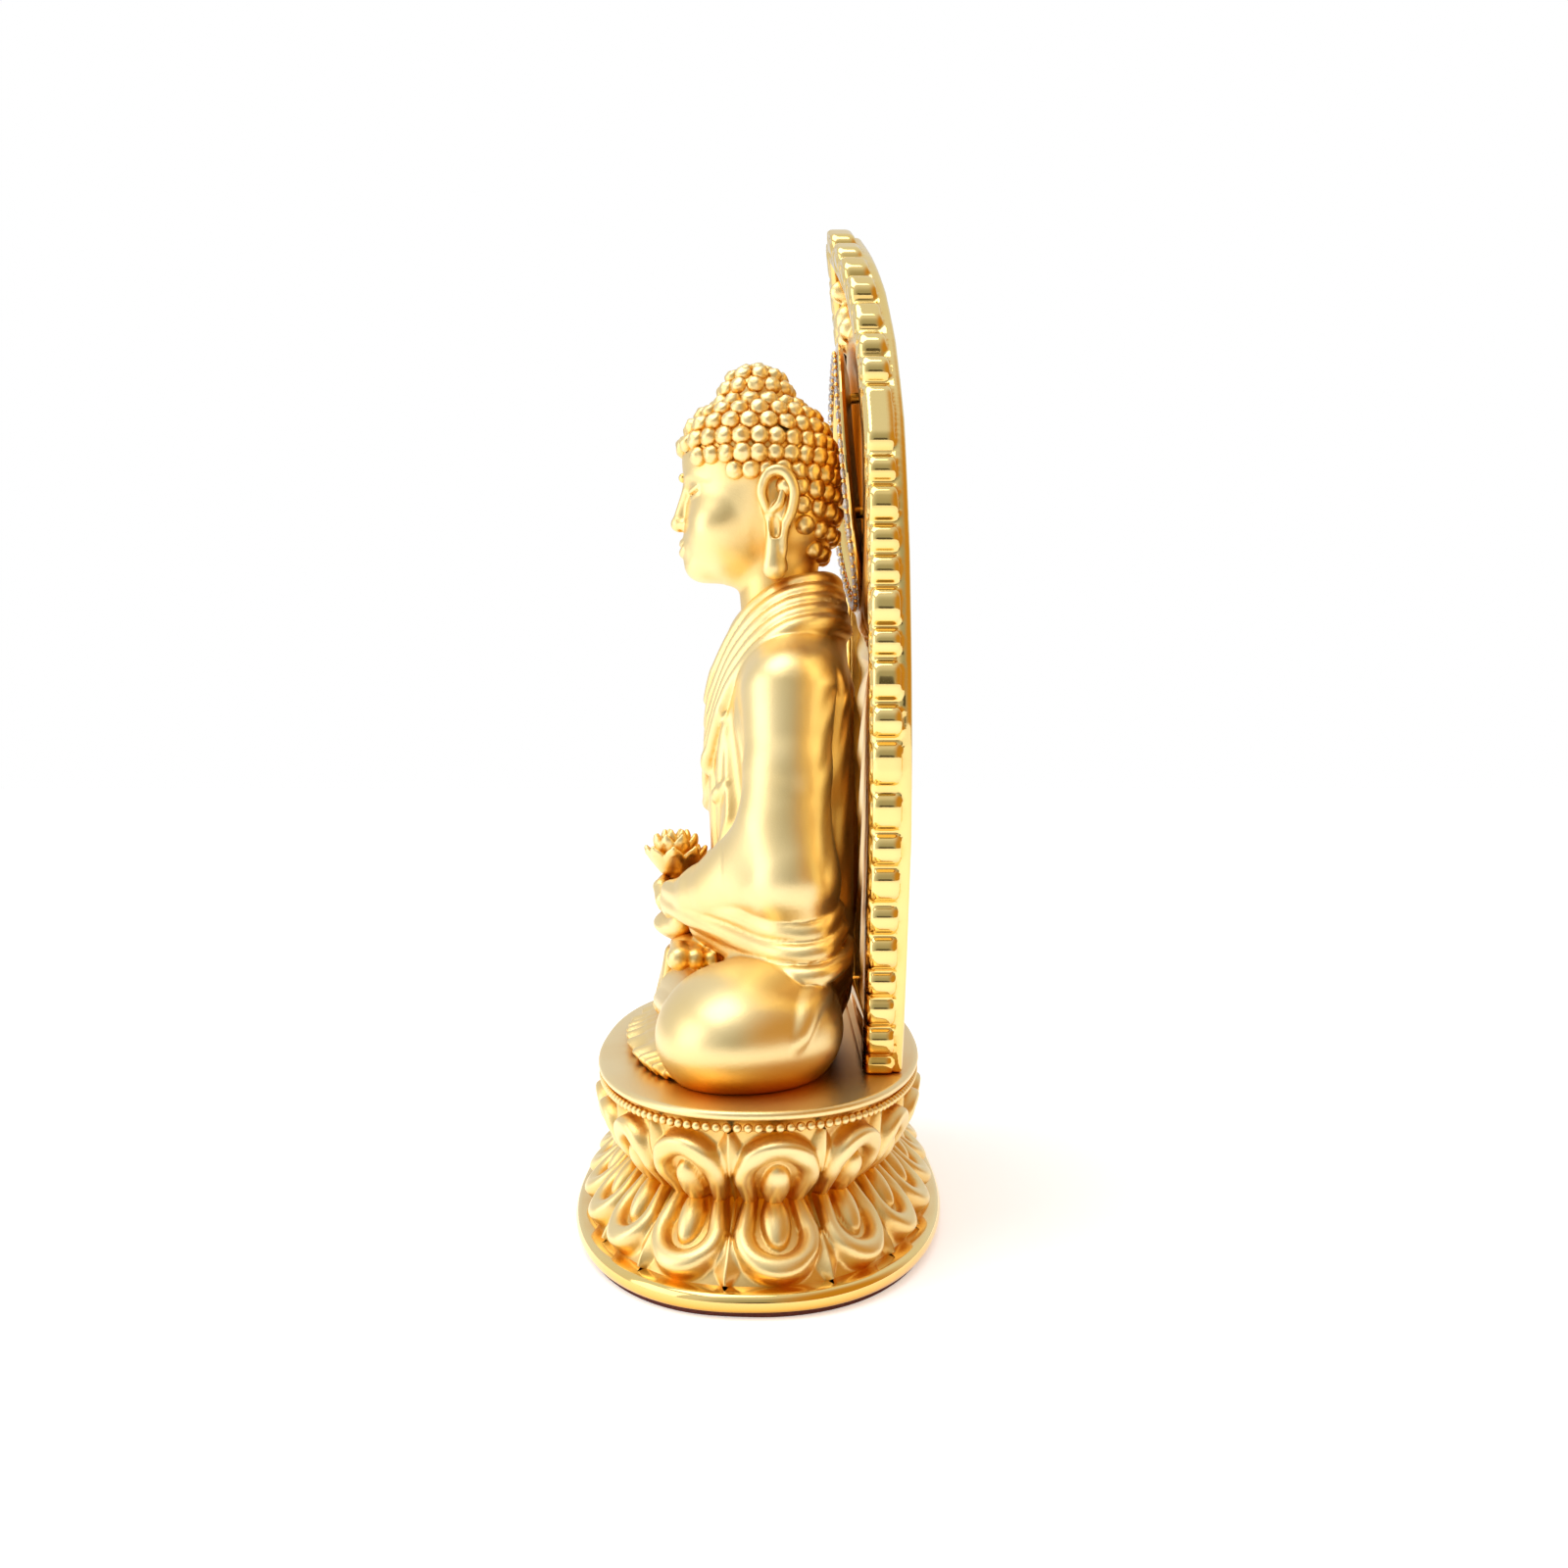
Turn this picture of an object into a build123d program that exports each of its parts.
from build123d import *
import os
from math import asin, copysign, cos, pi, radians, sin

# Seated Buddha on an oval double-lotus throne, with a flame-edged mandorla and a stone-set halo.
# Millimetres. Origin: centre of the resting face. +Z is up, the figure faces -Y, its left side is +X.
# The throne is two hollow castings on a plinth ring, clamped to the figure by one tie rod.
# The mandorla stands on the deck behind the figure on two tenons, and lifts straight out.

# ---------------------------------------------------------------- driving dimensions
TOTAL_HEIGHT = 120.0
BASE_HALF_WIDTH = 45.2
BASE_HALF_DEPTH = 21.9
OVAL_POWER = 2.3  # 2 is an ellipse; a little more fills out the corners
OVAL_POINTS = 28

PAD_TOP = 0.5
PLINTH_TOP = 2.4
WAIST_Z = 9.2
DECK_Z = 19.2
DECK_THICKNESS = 2.0
DECK_HALF_WIDTH = 42.0
DECK_HALF_DEPTH = 19.3
DECK_LIP = 0.9  # thickness of the rounded edge above the pearls
WALL = 2.0
PETALS = 21
PETAL_RADIUS = 4.6
UPPER_PETAL_RADIUS = 4.2
PEARL_RADIUS = 0.65
PEARL_Z = 17.5

SHOULDER_Z = 67.0
COLLAR_Z = 72.0
HEAD_Z = 89.5
HEAD_RADIUS = 9.7
CROWN_TOP = 103.8

HALO_Z = 88.3
HALO_RADIUS = 17.0
HALO_THICKNESS = 1.2
HALO_LEAN = 5.0  # degrees, top towards the front
HALO_FRONT_Y = 10.8  # its front face, at its centre
STONES = 56
STONE_RADIUS = 0.75
STONE_RING_RADIUS = 15.2

BORDER_THICKNESS = 4.0
BORDER_WIDTH = 5.0
PANEL_THICKNESS = 1.4
PANEL_RECESS = 2.1  # panel front behind border front
LOBE_RADIUS = 2.6
LOBES_PER_SIDE = 21

TENON_X = 16.0
TENON_WIDTH = 5.0
TENON_THICKNESS = 2.4
TENON_DEPTH = 5.6
SLIDE_FIT = 0.1

ROD_RADIUS = 1.5
FIT = 0.05
CUT_ROOM = 20.0  # generous size for cutting away waste


def oval_points(half_width, half_depth):
    """Points of a superellipse, in order round it."""
    points = []
    for i in range(OVAL_POINTS):
        angle = 2 * pi * i / OVAL_POINTS
        across = copysign(abs(cos(angle)) ** (2 / OVAL_POWER), cos(angle))
        along = copysign(abs(sin(angle)) ** (2 / OVAL_POWER), sin(angle))
        points.append((half_width * across, half_depth * along))
    return points


def oval_stack(sections):
    """A closed solid lofted through ovals, each (height, half width, half depth, centre y)."""
    with BuildPart() as stack:
        for z, half_width, half_depth, centre_y in sections:
            with BuildSketch(Plane((0, centre_y, z))):
                with BuildLine():
                    Spline(*oval_points(half_width, half_depth), periodic=True)
                make_face()
        loft()
    return stack.part


def even_places(half_width, half_depth, z, count):
    """Evenly spaced points along an oval, starting half a step off the front centre."""
    with BuildLine() as track:
        Spline(*oval_points(half_width, half_depth), periodic=True)
    front = 0.75  # the share of the way round from +X to -Y
    places = []
    for i in range(count):
        point = track.line @ ((front + (i + 0.5) / count) % 1.0)
        places.append((point.X, point.Y, z))
    return places


def limb(start, end, start_radius, end_radius):
    """A tapered round limb with ball ends, turned from one outline."""
    reach = Vector(*end) - Vector(*start)
    along = reach.normalized()
    side = along.cross(Vector(0, 1, 0)).normalized()
    taper = asin((start_radius - end_radius) / reach.length)
    half_way = pi / 4 + taper / 2
    with BuildPart() as bar:
        with BuildSketch(Plane(origin=start, x_dir=side, z_dir=side.cross(along))):
            with BuildLine():
                start_edge = (start_radius * cos(taper), start_radius * sin(taper))
                end_edge = (end_radius * cos(taper), reach.length + end_radius * sin(taper))
                ThreePointArc(
                    (0, -start_radius),
                    (start_radius * sin(half_way), -start_radius * cos(half_way)),
                    start_edge,
                )
                Line(start_edge, end_edge)
                ThreePointArc(
                    end_edge,
                    (end_radius * cos(half_way), reach.length + end_radius * sin(half_way)),
                    (0, reach.length + end_radius),
                )
                Line((0, reach.length + end_radius), (0, -start_radius))
            make_face()
        revolve(axis=Axis(start, along))
    return bar.part


def finish_part(part, name):
    """Labels a finished piece and writes its STEP file."""
    part.label = name
    export_step(part, f"parts/{name}.step")


os.makedirs("parts", exist_ok=True)

# ---------------------------------------------------------------- base: pad, cover, plinth, screws
PAD_INSET = 0.9
COVER_HALF = (39.6, 16.6)
COVER_TOP = 1.5
OPENING_HALF = (35.4, 12.4)
SCREW_PLACES = [(x, y) for x in (-25.5, 25.5) for y in (-11.1, 11.1)]
SCREW_RADIUS = 0.9
SCREW_HEAD_RADIUS = 1.8
SCREW_TOP = 6.2
SCREW_BOSS_RADIUS = 2.2
HOLE_SPARE = 0.4  # room left beyond a screw's end

pad_body = oval_stack(
    [(z, BASE_HALF_WIDTH - PAD_INSET, BASE_HALF_DEPTH - PAD_INSET, 0) for z in (0, PAD_TOP)]
)
cover_body = oval_stack([(z, *COVER_HALF, 0) for z in (PAD_TOP, COVER_TOP)])
cover_space = oval_stack([(z, COVER_HALF[0] + FIT, COVER_HALF[1] + FIT, 0) for z in (0, COVER_TOP)])
opening_space = oval_stack([(z, *OPENING_HALF, 0) for z in (0, PLINTH_TOP + 1)])
plinth_body = oval_stack([(z, BASE_HALF_WIDTH, BASE_HALF_DEPTH, 0) for z in (PAD_TOP, PLINTH_TOP)])

with BuildPart() as felt_pad:
    add(pad_body)

with BuildPart() as bottom_cover:
    add(cover_body)
    with Locations(*[Location((x, y, PAD_TOP), (180, 0, 0)) for x, y in SCREW_PLACES]):
        CounterSinkHole(SCREW_RADIUS + FIT, SCREW_HEAD_RADIUS + FIT, COVER_TOP)

with BuildPart() as plinth_ring:
    add(plinth_body)
    fillet(plinth_ring.edges().group_by(Axis.Z)[-1], 0.5)
    add(cover_space, mode=Mode.SUBTRACT)
    add(opening_space, mode=Mode.SUBTRACT)
    with Locations(*[(x, y, PLINTH_TOP) for x, y in SCREW_PLACES]):
        Hole(SCREW_RADIUS + FIT)

with BuildPart() as cover_screws:
    for x, y in SCREW_PLACES:
        with BuildSketch(Plane.XZ.offset(-y)):
            with BuildLine():
                Polyline(
                    (x, PAD_TOP),
                    (x + SCREW_HEAD_RADIUS, PAD_TOP),
                    (x + SCREW_RADIUS, PAD_TOP + SCREW_HEAD_RADIUS - SCREW_RADIUS),
                    (x + SCREW_RADIUS, SCREW_TOP),
                    (x, SCREW_TOP),
                    close=True,
                )
            make_face()
        revolve(axis=Axis((x, y, 0), (0, 0, 1)))

# ---------------------------------------------------------------- lower lotus: petals turned down
LOWER_OUTER = [
    (PLINTH_TOP, 43.2, 19.9, 0),
    (4.4, 42.6, 19.3, 0),
    (7.0, 39.4, 16.1, 0),
    (WAIST_Z, 37.0, 13.8, 0),
]
LOWER_WEB = 1.8
SPIGOT_HALF = (32.8, 9.9)
SPIGOT_TOP = WAIST_Z + 1.5
WEB_BOTTOM = WAIST_Z - LOWER_WEB
LOWER_PETAL_TRACK = (39.7, 16.4)
LOWER_PETAL_Z = 5.0

lower_shell = oval_stack(LOWER_OUTER)
lower_hollow = oval_stack(
    [
        (PLINTH_TOP, 43.2 - WALL, 19.9 - WALL, 0),
        (4.4, 42.6 - WALL, 19.3 - WALL, 0),
        (WEB_BOTTOM, 38.4 - WALL, 15.2 - WALL, 0),
    ]
)
lower_petal_places = even_places(*LOWER_PETAL_TRACK, LOWER_PETAL_Z, PETALS)
spigot_body = oval_stack([(z, *SPIGOT_HALF, 0) for z in (WAIST_Z - 0.5, SPIGOT_TOP)])

with BuildPart() as lower_lotus:
    add(lower_shell)
    with Locations(*lower_petal_places):
        Sphere(PETAL_RADIUS)
    split(bisect_by=Plane.XY.offset(PLINTH_TOP), keep=Keep.TOP)
    split(bisect_by=Plane.XY.offset(WAIST_Z), keep=Keep.BOTTOM)
    add(lower_hollow, mode=Mode.SUBTRACT)
    add(spigot_body)
    with Locations(*[(x, y, PLINTH_TOP) for x, y in SCREW_PLACES]):
        Cylinder(SCREW_BOSS_RADIUS, WEB_BOTTOM - PLINTH_TOP, align=(Align.CENTER, Align.CENTER, Align.MIN))
    with Locations(*[(x, y, PLINTH_TOP) for x, y in SCREW_PLACES]):
        Cylinder(
            SCREW_RADIUS,
            SCREW_TOP - PLINTH_TOP + HOLE_SPARE,
            align=(Align.CENTER, Align.CENTER, Align.MIN),
            mode=Mode.SUBTRACT,
        )
    with Locations((0, 0, SPIGOT_TOP)):
        Hole(ROD_RADIUS + SLIDE_FIT)

# ---------------------------------------------------------------- upper lotus: petals turned up, deck, pearls
UPPER_OUTER = [
    (WAIST_Z, 36.4, 13.6, 0),
    (11.6, 39.2, 16.6, 0),
    (14.4, 40.4, 17.7, 0),
    (DECK_Z - DECK_LIP, 40.5, 17.8, 0),
]
UPPER_PETAL_TRACK = (38.4, 15.7)
UPPER_PETAL_Z = 13.0
PEARL_TRACK = (DECK_HALF_WIDTH - 0.8, DECK_HALF_DEPTH - 0.8)
DOWEL_X = 13.0
DOWEL_RADIUS = 1.0
DOWEL_LENGTH = 4.0
MANDORLA_Y = 13.6  # middle of the border at the deck
SOCKET_WALL = 1.0
SOCKET_DEPTH = 6.0

upper_shell = oval_stack(UPPER_OUTER)
upper_hollow = oval_stack(
    [
        (WAIST_Z, SPIGOT_HALF[0] + FIT, SPIGOT_HALF[1] + FIT, 0),
        (11.6, 37.0, 14.2, 0),
        (14.4, 38.2, 15.4, 0),
        (DECK_Z - DECK_THICKNESS, 38.4, 15.7, 0),
    ]
)
upper_petal_places = even_places(*UPPER_PETAL_TRACK, UPPER_PETAL_Z, PETALS)
deck_lip = oval_stack([(z, DECK_HALF_WIDTH, DECK_HALF_DEPTH, 0) for z in (DECK_Z - DECK_LIP, DECK_Z)])

with BuildPart() as pearl_border:
    with BuildLine(Plane.XY.offset(PEARL_Z)) as pearl_path:
        Spline(*oval_points(*PEARL_TRACK), periodic=True)
    with BuildSketch(Plane(pearl_path.line @ 0, z_dir=pearl_path.line % 0)):
        Circle(PEARL_RADIUS)
    sweep()

with BuildPart() as upper_lotus:
    add(upper_shell)
    with Locations(*upper_petal_places):
        Sphere(UPPER_PETAL_RADIUS)
    split(bisect_by=Plane.XY.offset(WAIST_Z), keep=Keep.TOP)
    add(deck_lip)
    fillet(upper_lotus.edges().group_by(Axis.Z)[-1], DECK_LIP / 2)
    add(upper_hollow, mode=Mode.SUBTRACT)
    with Locations(*[(x, MANDORLA_Y, DECK_Z - 0.5) for x in (-TENON_X, TENON_X)]):
        Box(
            TENON_WIDTH + 2 * SOCKET_WALL,
            TENON_THICKNESS + 2 * SOCKET_WALL,
            SOCKET_DEPTH - 0.5,
            align=(Align.CENTER, Align.CENTER, Align.MAX),
        )
    with Locations(*[(x, MANDORLA_Y, DECK_Z) for x in (-TENON_X, TENON_X)]):
        Box(
            TENON_WIDTH + 2 * SLIDE_FIT,
            TENON_THICKNESS + 2 * SLIDE_FIT,
            SOCKET_DEPTH,
            align=(Align.CENTER, Align.CENTER, Align.MAX),
            mode=Mode.SUBTRACT,
        )
    with Locations((0, 0, DECK_Z)):
        Hole(ROD_RADIUS + SLIDE_FIT)
    with Locations(*[(x, 0, DECK_Z) for x in (-DOWEL_X, DOWEL_X)]):
        Hole(DOWEL_RADIUS)

with BuildPart() as dowels:
    with Locations(*[(x, 0, DECK_Z) for x in (-DOWEL_X, DOWEL_X)]):
        Cylinder(DOWEL_RADIUS, DOWEL_LENGTH)

# ---------------------------------------------------------------- tie rod, washer and nut
ROD_BOTTOM = 3.6
ROD_TOP = 31.0
WASHER_RADIUS = 3.6
WASHER_THICKNESS = 0.6
NUT_ACROSS_FLATS = 5.5
NUT_THICKNESS = 2.0

with BuildPart() as tie_rod:
    with Locations((0, 0, ROD_BOTTOM)):
        Cylinder(ROD_RADIUS, ROD_TOP - ROD_BOTTOM, align=(Align.CENTER, Align.CENTER, Align.MIN))
    chamfer(tie_rod.edges(), 0.3)

with BuildPart() as tie_washer:
    with BuildSketch(Plane.XY.offset(WEB_BOTTOM - WASHER_THICKNESS)):
        Circle(WASHER_RADIUS)
        Circle(ROD_RADIUS + SLIDE_FIT, mode=Mode.SUBTRACT)
    extrude(amount=WASHER_THICKNESS)

with BuildPart() as tie_nut:
    with BuildSketch(Plane.XY.offset(WEB_BOTTOM - WASHER_THICKNESS - NUT_THICKNESS)):
        RegularPolygon(NUT_ACROSS_FLATS / 2, 6, major_radius=False)
        Circle(ROD_RADIUS, mode=Mode.SUBTRACT)
    extrude(amount=NUT_THICKNESS)

# ---------------------------------------------------------------- hands and lotus blossom
HANDS_Y = -10.2
HANDS_Z = 35.4
BLOSSOM_Y = -10.6
BLOSSOM_Z = 38.9
PEG_RADIUS = 0.7
PEG_LENGTH = 2.6

palm_core = limb((-6.0, HANDS_Y, HANDS_Z), (6.0, HANDS_Y, HANDS_Z), 3.0, 3.0)
left_thumb = limb((6.5, HANDS_Y - 1.4, HANDS_Z + 1.4), (1.0, HANDS_Y - 3.2, HANDS_Z + 2.2), 1.4, 1.0)
right_thumb = limb((-6.5, HANDS_Y - 1.4, HANDS_Z + 1.4), (-1.0, HANDS_Y - 3.2, HANDS_Z + 2.2), 1.4, 1.0)

with BuildPart() as lotus_blossom:
    with BuildSketch(Plane.XZ.offset(-BLOSSOM_Y)):
        with BuildLine():
            Line((0, BLOSSOM_Z), (1.6, BLOSSOM_Z))
            Spline((1.6, BLOSSOM_Z), (3.0, BLOSSOM_Z + 1.8), (3.6, BLOSSOM_Z + 5.6))
            Line((3.6, BLOSSOM_Z + 5.6), (3.0, BLOSSOM_Z + 5.6))
            Spline((3.0, BLOSSOM_Z + 5.6), (2.4, BLOSSOM_Z + 2.8), (1.4, BLOSSOM_Z + 1.4))
            Polyline((1.4, BLOSSOM_Z + 1.4), (0, BLOSSOM_Z + 1.4), (0, BLOSSOM_Z))
        make_face()
    revolve(axis=Axis((0, BLOSSOM_Y, 0), (0, 0, 1)))
    with Locations((0, BLOSSOM_Y, BLOSSOM_Z)):
        Cylinder(PEG_RADIUS, 6, mode=Mode.SUBTRACT)

with BuildPart() as lotus_pod:
    with BuildSketch(Plane.XZ.offset(-BLOSSOM_Y)):
        with BuildLine():
            Polyline(
                (0, BLOSSOM_Z - PEG_LENGTH),
                (PEG_RADIUS, BLOSSOM_Z - PEG_LENGTH),
                (PEG_RADIUS, BLOSSOM_Z + 1.4),
                (1.2, BLOSSOM_Z + 1.4),
                (1.9, BLOSSOM_Z + 4.2),
                (1.5, BLOSSOM_Z + 4.6),
                (0, BLOSSOM_Z + 4.8),
                close=True,
            )
        make_face()
    revolve(axis=Axis((0, BLOSSOM_Y, 0), (0, 0, 1)))

with BuildPart() as hands:
    add(palm_core)
    add(left_thumb)
    add(right_thumb)
    split(bisect_by=Plane.XY.offset(BLOSSOM_Z - 0.6), keep=Keep.BOTTOM)
    with Locations((0, BLOSSOM_Y, HANDS_Z)):
        Cylinder(1.6, BLOSSOM_Z - HANDS_Z, align=(Align.CENTER, Align.CENTER, Align.MIN))
    with Locations((0, BLOSSOM_Y, BLOSSOM_Z)):
        Cylinder(PEG_RADIUS, 2 * PEG_LENGTH, mode=Mode.SUBTRACT)

# ---------------------------------------------------------------- figure: legs, robed torso, arms
ROD_BOSS_RADIUS = 3.6
ROD_BOSS_HEIGHT = 24.0
DOWEL_BOSS_RADIUS = 2.2
DOWEL_BOSS_HEIGHT = 16.0
HEM_HEIGHT = 2.2  # the robe's edge, spread on the deck in front of the shins
NECK_SOCKET_RADIUS = 4.0
NECK_SOCKET_BOTTOM = 67.0
NECK_Y = 1.2

leg_mass = oval_stack(
    [
        (DECK_Z, 34.0, 8.6, -0.6),
        (22.0, 36.4, 9.9, -0.6),
        (27.0, 36.4, 10.1, -0.6),
        (31.5, 30.0, 9.0, -0.4),
        (34.6, 18.0, 7.2, 0.4),
    ]
)
torso = oval_stack(
    [
        (26.0, 17.0, 8.4, 1.4),
        (38.0, 14.0, 8.4, 1.9),
        (50.0, 15.0, 8.6, 1.7),
        (60.0, 17.6, 8.8, 1.7),
        (SHOULDER_Z, 16.0, 7.4, 2.6),
        (COLLAR_Z, 6.2, 5.6, 2.2),
    ]
)
arms = []
for side in (-1, 1):
    shoulder = (16.6 * side, 3.0, 62.5)
    elbow = (21.5 * side, 4.2, 39.5)
    wrist = (8.5 * side, -8.0, 36.2)
    arms.append(limb(shoulder, elbow, 6.2, 5.8))
    arms.append(limb(elbow, wrist, 5.4, 3.4))
with BuildPart() as body_hollow:
    with Locations((0, 0, DECK_Z - 1)):
        Box(48, 11.5, 11, align=(Align.CENTER, Align.CENTER, Align.MIN))
        Box(22, 11.5, 19, align=(Align.CENTER, Align.CENTER, Align.MIN))

with BuildPart() as figure_body:
    add(leg_mass)
    add(torso)
    for arm in arms:
        add(arm)
    with BuildSketch(Plane.XY.offset(DECK_Z)):
        with BuildLine():
            ThreePointArc((-26, -8), (0, -15.2), (26, -8))
            Line((26, -8), (-26, -8))
        make_face()
    extrude(amount=HEM_HEIGHT)
    add(body_hollow.part, mode=Mode.SUBTRACT)
    with Locations((0, 0, DECK_Z)):
        Cylinder(ROD_BOSS_RADIUS, ROD_BOSS_HEIGHT, align=(Align.CENTER, Align.CENTER, Align.MIN))
    with Locations(*[(x, 0, DECK_Z) for x in (-DOWEL_X, DOWEL_X)]):
        Cylinder(DOWEL_BOSS_RADIUS, DOWEL_BOSS_HEIGHT, align=(Align.CENTER, Align.CENTER, Align.MIN))
    with Locations((0, 0, DECK_Z)):
        Cylinder(ROD_RADIUS, 2 * (ROD_TOP + 1 - DECK_Z), mode=Mode.SUBTRACT)
    with Locations(*[(x, 0, DECK_Z) for x in (-DOWEL_X, DOWEL_X)]):
        Cylinder(DOWEL_RADIUS, DOWEL_LENGTH + 1, mode=Mode.SUBTRACT)
    with Locations((0, NECK_Y, NECK_SOCKET_BOTTOM)):
        Cylinder(
            NECK_SOCKET_RADIUS + FIT,
            CUT_ROOM,
            align=(Align.CENTER, Align.CENTER, Align.MIN),
            mode=Mode.SUBTRACT,
        )
    add(hands.part, mode=Mode.SUBTRACT)
    add(lotus_pod.part, mode=Mode.SUBTRACT)

# ---------------------------------------------------------------- head, ears and forehead stone
CROWN_RADIUS = 4.4
CROWN_Y = -0.5
STONE_SEAT = (0, -9.6, 89.0)
STONE_BEAD_RADIUS = 0.7

ears = []
for side in (-1, 1):
    ears.append(limb((9.2 * side, 2.0, 87.0), (8.6 * side, 1.6, 77.4), 1.7, 1.5))
# The head is laid out by the drawing canon: eight sevenths as tall, from skull top to chin, as it is deep.
SKULL_TOP = 98.0  # under the hair
HEAD_DEPTH = 19.25
CHIN_Z = SKULL_TOP - HEAD_DEPTH * 8 / 7
JAW_RADIUS = 5.2
jaw_end = (0, JAW_RADIUS - HEAD_DEPTH / 2, CHIN_Z + JAW_RADIUS)
jaw = limb((0, -2.0, 85.5), jaw_end, 8.2, JAW_RADIUS)

with BuildPart() as head:
    with Locations((0, 0, HEAD_Z)):
        Sphere(HEAD_RADIUS)
    with Locations((0, CROWN_Y, CROWN_TOP - CROWN_RADIUS)):
        Sphere(CROWN_RADIUS)
    add(jaw)
    for ear in ears:
        add(ear)
    with Locations((0, NECK_Y, NECK_SOCKET_BOTTOM + HOLE_SPARE)):
        Cylinder(
            NECK_SOCKET_RADIUS,
            HEAD_Z - NECK_SOCKET_BOTTOM,
            align=(Align.CENTER, Align.CENTER, Align.MIN),
        )
    with Locations(STONE_SEAT):
        Sphere(STONE_BEAD_RADIUS, mode=Mode.SUBTRACT)

with BuildPart() as forehead_stone:
    with Locations(STONE_SEAT):
        Sphere(STONE_BEAD_RADIUS)

# ---------------------------------------------------------------- mandorla, halo, stones and pins
# The border's front face in side view, as (y, z), from below the deck to above the tip.
FRONT_CURVE = [(11.6, 10.0), (12.0, 45.0), (11.8, 75.0), (11.0, 100.0), (9.4, 112.0), (7.6, 122.0)]
# The leaf outline of one side in front view, as (x, z), from the foot to the tip.
LEAF_SIDE = [
    (21.8, 19.2),
    (26.6, 32.0),
    (31.6, 52.0),
    (31.2, 70.0),
    (26.4, 90.0),
    (13.6, 108.0),
    (0.0, TOTAL_HEIGHT - LOBE_RADIUS),
]
SLAB_HALF = 45.0
PANEL_OVERLAP = 1.0
BAR_HEIGHT = 4.2  # the straight foot between the border's two ends
SLAB_DEPTH = 25.0


def curved_slab(front, back):
    """A plate bent in side view, from `front` to `back` mm behind the border's front face."""
    front_edge = [(y + front, z) for y, z in FRONT_CURVE]
    back_edge = [(y + back, z) for y, z in FRONT_CURVE]
    with BuildPart() as slab:
        with BuildSketch(Plane.YZ):
            with BuildLine():
                Spline(*front_edge)
                Spline(*back_edge)
                Line(front_edge[0], back_edge[0])
                Line(front_edge[-1], back_edge[-1])
            make_face()
        extrude(amount=SLAB_HALF, both=True)
    return slab.part


with BuildLine() as leaf_edge:
    Spline(*LEAF_SIDE)
right_lobes = []
for i in range(LOBES_PER_SIDE + 1):
    place = leaf_edge.line @ (i / LOBES_PER_SIDE)
    right_lobes.append((place.X, max(place.Y, DECK_Z + LOBE_RADIUS)))
left_lobes = [(-x, z) for x, z in right_lobes[:-1]]


def leaf_face(inset):
    """The leaf through the lobe centres as a face in the XZ plane, pulled in by `inset`."""
    with BuildSketch() as face:
        with BuildLine():
            foot = right_lobes[0][0]
            Polyline((-foot, DECK_Z), (foot, DECK_Z), *right_lobes, *reversed(left_lobes), close=True)
        make_face()
        if inset:
            offset(amount=-inset, kind=Kind.INTERSECTION, mode=Mode.REPLACE)
    return face.sketch


outer_leaf = leaf_face(0)
inner_leaf = leaf_face(BORDER_WIDTH - LOBE_RADIUS)
panel_leaf = leaf_face(BORDER_WIDTH - LOBE_RADIUS - PANEL_OVERLAP)
border_slab = curved_slab(0, BORDER_THICKNESS)
panel_slab = curved_slab(PANEL_RECESS, PANEL_RECESS + PANEL_THICKNESS)

halo_plane = Plane(
    origin=(0, HALO_FRONT_Y, HALO_Z),
    x_dir=(1, 0, 0),
    z_dir=(0, -cos(radians(HALO_LEAN)), -sin(radians(HALO_LEAN))),
)
PIN_RADIUS = 0.7
PIN_CIRCLE = 10.5
PIN_LENGTH = 4.2
PIN_HEAD_DEPTH = 0.4  # pin heads sit this far behind the halo's front face
STONE_CHANNEL_DEPTH = 0.9

with BuildPart() as halo_pins:
    with BuildSketch(halo_plane.offset(-PIN_HEAD_DEPTH)):
        with PolarLocations(PIN_CIRCLE, 3, start_angle=90):
            Circle(PIN_RADIUS)
    extrude(amount=-PIN_LENGTH)

with BuildPart() as halo_plate:
    with BuildSketch(halo_plane.offset(-HALO_THICKNESS)):
        Circle(HALO_RADIUS)
    extrude(amount=HALO_THICKNESS)
    with BuildSketch(halo_plane):
        Circle(STONE_RING_RADIUS + STONE_RADIUS + FIT)
        Circle(STONE_RING_RADIUS - STONE_RADIUS - FIT, mode=Mode.SUBTRACT)
    extrude(amount=-STONE_CHANNEL_DEPTH, mode=Mode.SUBTRACT)
    add(halo_pins.part, mode=Mode.SUBTRACT)

with BuildPart() as one_stone:
    with BuildSketch(Plane.XZ):
        with BuildLine():
            Polyline(
                (0, -0.85),
                (STONE_RADIUS, -0.25),
                (STONE_RADIUS, -0.18),
                (0.45, 0.12),
                (0, 0.12),
                close=True,
            )
        make_face()
    revolve(axis=Axis.Z)

with BuildPart() as halo_stones:
    with Locations(halo_plane):
        with PolarLocations(STONE_RING_RADIUS, STONES):
            add(one_stone.part)

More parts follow.
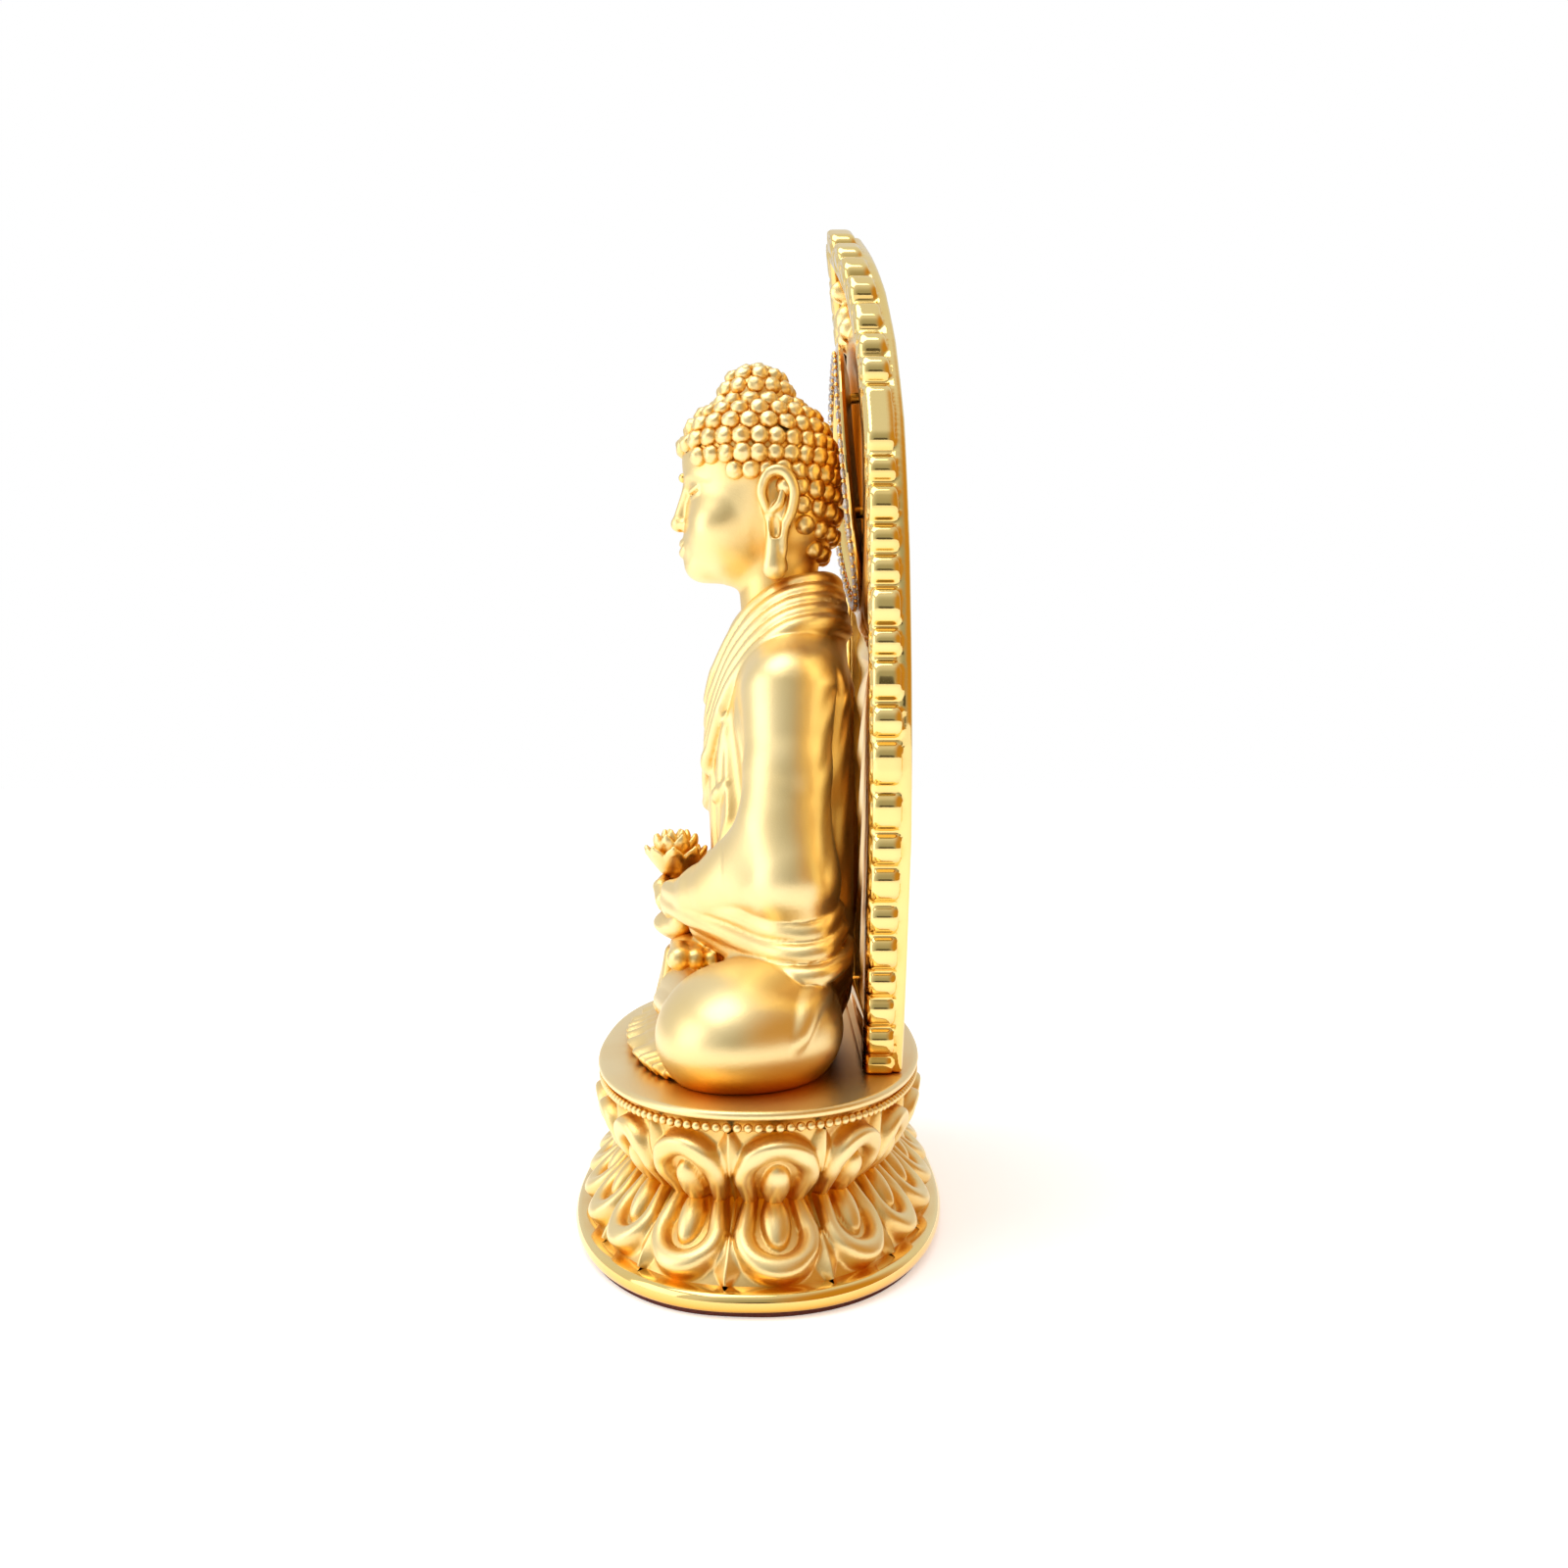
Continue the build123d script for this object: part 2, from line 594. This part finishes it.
with BuildPart() as mandorla_border:
    with BuildSketch(Plane.XZ) as border_face:
        add(outer_leaf)
        with Locations(*right_lobes, *left_lobes):
            Circle(LOBE_RADIUS)
        with Locations((0, DECK_Z)):
            Rectangle(2 * SLAB_HALF, CUT_ROOM, align=(Align.CENTER, Align.MAX), mode=Mode.SUBTRACT)
        add(inner_leaf, mode=Mode.SUBTRACT)
        with Locations((0, DECK_Z)):
            Rectangle(2 * LEAF_SIDE[0][0], BAR_HEIGHT, align=(Align.CENTER, Align.MIN))
        with Locations(*[(x, DECK_Z + 1) for x in (-TENON_X, TENON_X)]):
            Rectangle(TENON_WIDTH, TENON_DEPTH + 1, align=(Align.CENTER, Align.MAX))
    extrude(amount=-SLAB_DEPTH)
    add(border_slab, mode=Mode.INTERSECT)
    # Each tenon is thinner than the border above it: the deck-side slab is cut away in front and behind.
    for tenon_face_y, cut_side in (
        (MANDORLA_Y - TENON_THICKNESS / 2, Align.MAX),
        (MANDORLA_Y + TENON_THICKNESS / 2, Align.MIN),
    ):
        with Locations((0, tenon_face_y, DECK_Z)):
            Box(
                2 * SLAB_HALF,
                CUT_ROOM,
                CUT_ROOM,
                align=(Align.CENTER, cut_side, Align.MAX),
                mode=Mode.SUBTRACT,
            )

with BuildPart() as mandorla_panel:
    with BuildSketch(Plane.XZ):
        add(panel_leaf)
        with Locations((0, DECK_Z + BAR_HEIGHT)):
            Rectangle(2 * SLAB_HALF, CUT_ROOM, align=(Align.CENTER, Align.MAX), mode=Mode.SUBTRACT)
    extrude(amount=-SLAB_DEPTH)
    add(panel_slab, mode=Mode.INTERSECT)
    add(halo_pins.part, mode=Mode.SUBTRACT)

with BuildPart() as border_with_rebate:
    add(mandorla_border.part)
    add(mandorla_panel.part, mode=Mode.SUBTRACT)

# ---------------------------------------------------------------- write every piece
PIECES = {
    "felt_pad": felt_pad,
    "bottom_cover": bottom_cover,
    "plinth_ring": plinth_ring,
    "cover_screws": cover_screws,
    "lower_lotus": lower_lotus,
    "upper_lotus": upper_lotus,
    "pearl_border": pearl_border,
    "dowels": dowels,
    "tie_rod": tie_rod,
    "tie_washer": tie_washer,
    "tie_nut": tie_nut,
    "figure_body": figure_body,
    "hands": hands,
    "lotus_blossom": lotus_blossom,
    "lotus_pod": lotus_pod,
    "head": head,
    "forehead_stone": forehead_stone,
    "mandorla_border": border_with_rebate,
    "mandorla_panel": mandorla_panel,
    "halo_plate": halo_plate,
    "halo_stones": halo_stones,
    "halo_pins": halo_pins,
}
for name, piece in PIECES.items():
    finish_part(piece.part, name)
